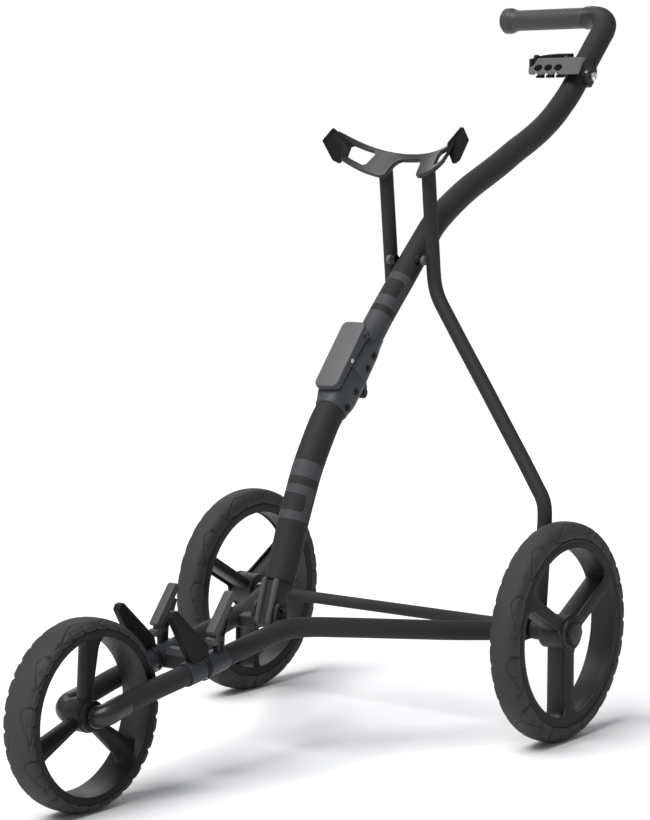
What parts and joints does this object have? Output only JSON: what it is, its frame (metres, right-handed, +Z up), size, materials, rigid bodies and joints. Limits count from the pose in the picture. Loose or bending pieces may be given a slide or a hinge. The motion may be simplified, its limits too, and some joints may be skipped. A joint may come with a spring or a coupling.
{
  "type": "golf push cart",
  "caption": "Folding push cart for a golf bag: tubular chassis with spoked wheels, hinged mast with a latch, bag cradle on a strut, lower bag rests, console tray and side grip.",
  "frame": {"origin": "on the floor, under the middle of the bounding box", "axes": "+Z up, -Y towards the front wheel, +X towards the cart's left side"},
  "size_m": [0.5834, 1.3308, 1.0029],
  "materials": {
    "tube": "matte",
    "tyre": "matte",
    "rim": "satin",
    "moulding": "satin",
    "rubber": "matte",
    "housing": "satin",
    "cover": "satin",
    "steel": "satin"
  },
  "bodies": {
    "chassis": {"rear_axle": "steel", "front_axle": "steel", "fork_elbow_left": "tube", "fork_elbow_right": "tube", "fork_arm_left": "tube", "fork_arm_right": "tube", "side_arm_left": "tube", "side_arm_right": "tube", "arm_collar_left": "housing", "arm_collar_right": "housing", "collar_ring_left": "tube", "collar_ring_right": "tube", "bag_prong_left": "moulding", "bag_prong_right": "moulding", "pad_bracket_left": "moulding", "pad_bracket_right": "moulding", "bag_pad_left": "rubber", "bag_pad_right": "rubber", "foot_lug_left": "moulding", "foot_lug_right": "moulding", "axle_block_left": "moulding", "axle_block_right": "moulding", "cross_brace": "moulding", "foot_pin": "steel"},
    "mast_lower": {"mast_lower_tube": "tube", "mast_foot": "moulding", "hinge_lower": "housing", "hinge_pin": "steel", "hinge_bolt_1": "steel", "hinge_bolt_2": "steel"},
    "mast_upper": {"mast_upper_tube": "tube", "hinge_upper": "housing", "hinge_bolt_3": "steel", "hinge_bolt_4": "steel", "strut_pivot_pin": "steel", "latch_hinge_pin": "steel", "grip_core": "steel", "grip": "rubber", "grip_cap": "moulding", "console_clamp": "moulding", "clamp_screw": "steel", "console_tray": "moulding", "console_plate": "cover", "tee_comb": "rubber"},
    "latch": {"latch_cover": "cover", "latch_catch_pin": "steel"},
    "bag_frame": {"bag_strut_left": "tube", "bag_strut_right": "tube", "bag_cradle": "moulding"},
    "wheel_left": {"wheel_left_tyre": "tyre", "wheel_left_rim": "rim", "wheel_left_bush": "steel", "wheel_left_cap": "moulding"},
    "wheel_right": {"wheel_right_tyre": "tyre", "wheel_right_rim": "rim", "wheel_right_bush": "steel", "wheel_right_cap": "moulding"},
    "front_wheel": {"front_wheel_tyre": "tyre", "front_wheel_rim": "rim", "front_wheel_bush": "steel"}
  },
  "joints": [
    {"name": "mast_fold", "type": "hinge", "parent": "chassis", "child": "mast_lower", "pos_m": [0, -0.1976, 0.19], "axis": [1, 0, 0], "range_deg": [0, 100]},
    {"name": "handle_fold", "type": "hinge", "parent": "mast_lower", "child": "mast_upper", "pos_m": [0, -0.00554, 0.45483], "axis": [1, 0, 0], "range_deg": [-130, 0]},
    {"name": "latch_open", "type": "hinge", "parent": "mast_upper", "child": "latch", "pos_m": [0, -0.01122, 0.53398], "axis": [1, 0, 0], "range_deg": [-58, 0]},
    {"name": "strut_fold", "type": "hinge", "parent": "chassis", "child": "bag_frame", "pos_m": [0, 0.0854, 0.146], "axis": [1, 0, 0], "range_deg": [0, 57]},
    {"name": "wheel_left_spin", "type": "hinge", "parent": "chassis", "child": "wheel_left", "pos_m": [0.2637, 0.0854, 0.146], "axis": [1, 0, 0], "continuous": true},
    {"name": "wheel_right_spin", "type": "hinge", "parent": "chassis", "child": "wheel_right", "pos_m": [-0.2637, 0.0854, 0.146], "axis": [1, 0, 0], "continuous": true},
    {"name": "front_wheel_spin", "type": "hinge", "parent": "chassis", "child": "front_wheel", "pos_m": [0, -0.55, 0.1154], "axis": [1, 0, 0], "continuous": true}
  ],
  "couplings": [
    {"joint": "handle_fold", "follows": "mast_fold", "ratio": -1.3},
    {"joint": "strut_fold", "follows": "mast_fold", "ratio": 0.57}
  ]
}
